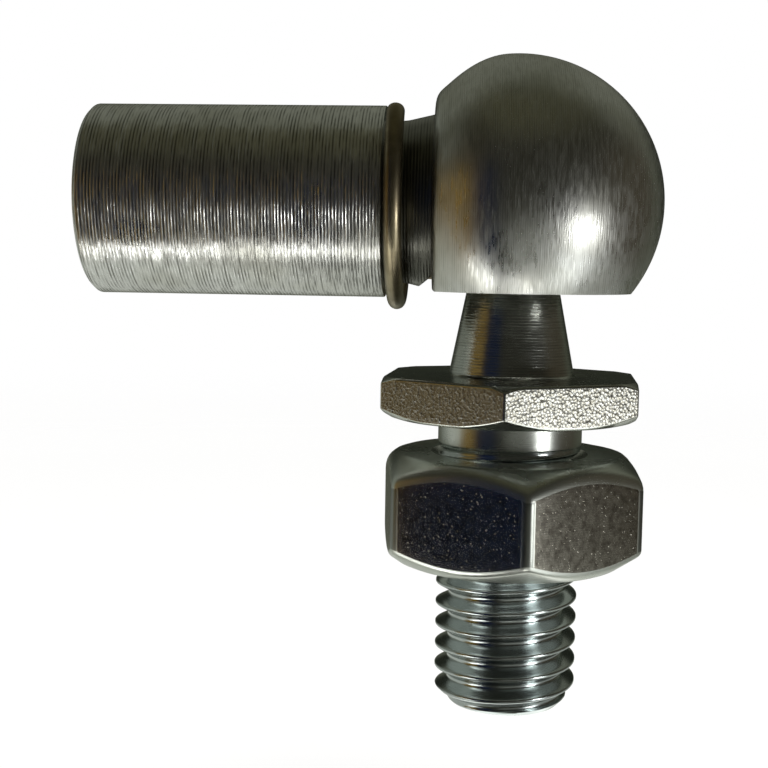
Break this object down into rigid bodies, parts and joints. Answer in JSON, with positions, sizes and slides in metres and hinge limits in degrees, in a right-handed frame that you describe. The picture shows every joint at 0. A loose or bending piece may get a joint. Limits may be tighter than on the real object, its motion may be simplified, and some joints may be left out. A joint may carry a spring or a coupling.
{
  "type": "angle ball joint",
  "caption": "Angle ball joint: a ball socket on an internally threaded shank, a threaded ball stud hanging square to it with hexagon and nut, and a wire safety clip.",
  "frame": {"origin": "centre of the socket shank's threaded mouth, on its end face; the ball's centre is 29.2 mm along +X", "axes": "+X along the shank from the mouth to the head, -Z along the stud from the ball to its threaded end, +Y away from the clip's free end"},
  "size_m": [0.0391, 0.02, 0.0449],
  "materials": {
    "socket_steel": "fine-turned free-cutting steel, clear zinc plated",
    "stud_steel": "turned and rolled steel, bright zinc plated, drawn hexagon faces",
    "nut_steel": "forged steel nut, zinc plated, finely pitted flats",
    "spring_steel": "drawn spring wire, dull brownish grey"
  },
  "bodies": {
    "socket": {"ball_socket": "socket_steel", "safety_clip": "spring_steel"},
    "retainer": {"snap_ring": "spring_steel"},
    "stud": {"ball_stud": "stud_steel"},
    "nut": {"hex_nut": "nut_steel"}
  },
  "joints": [
    {"name": "stud_swivel", "type": "hinge", "parent": "socket", "child": "retainer", "pos_m": [0.0292, 0, 0], "axis": [0, 0, 1], "continuous": true},
    {"name": "stud_tilt", "type": "hinge", "parent": "retainer", "child": "stud", "pos_m": [0.0292, 0, 0], "axis": [0, 1, 0], "range_deg": [-18, 18]},
    {"name": "nut_travel", "type": "slide", "parent": "stud", "child": "nut", "axis": [0, 0, 1], "range_m": [-0.0105, 0]}
  ]
}
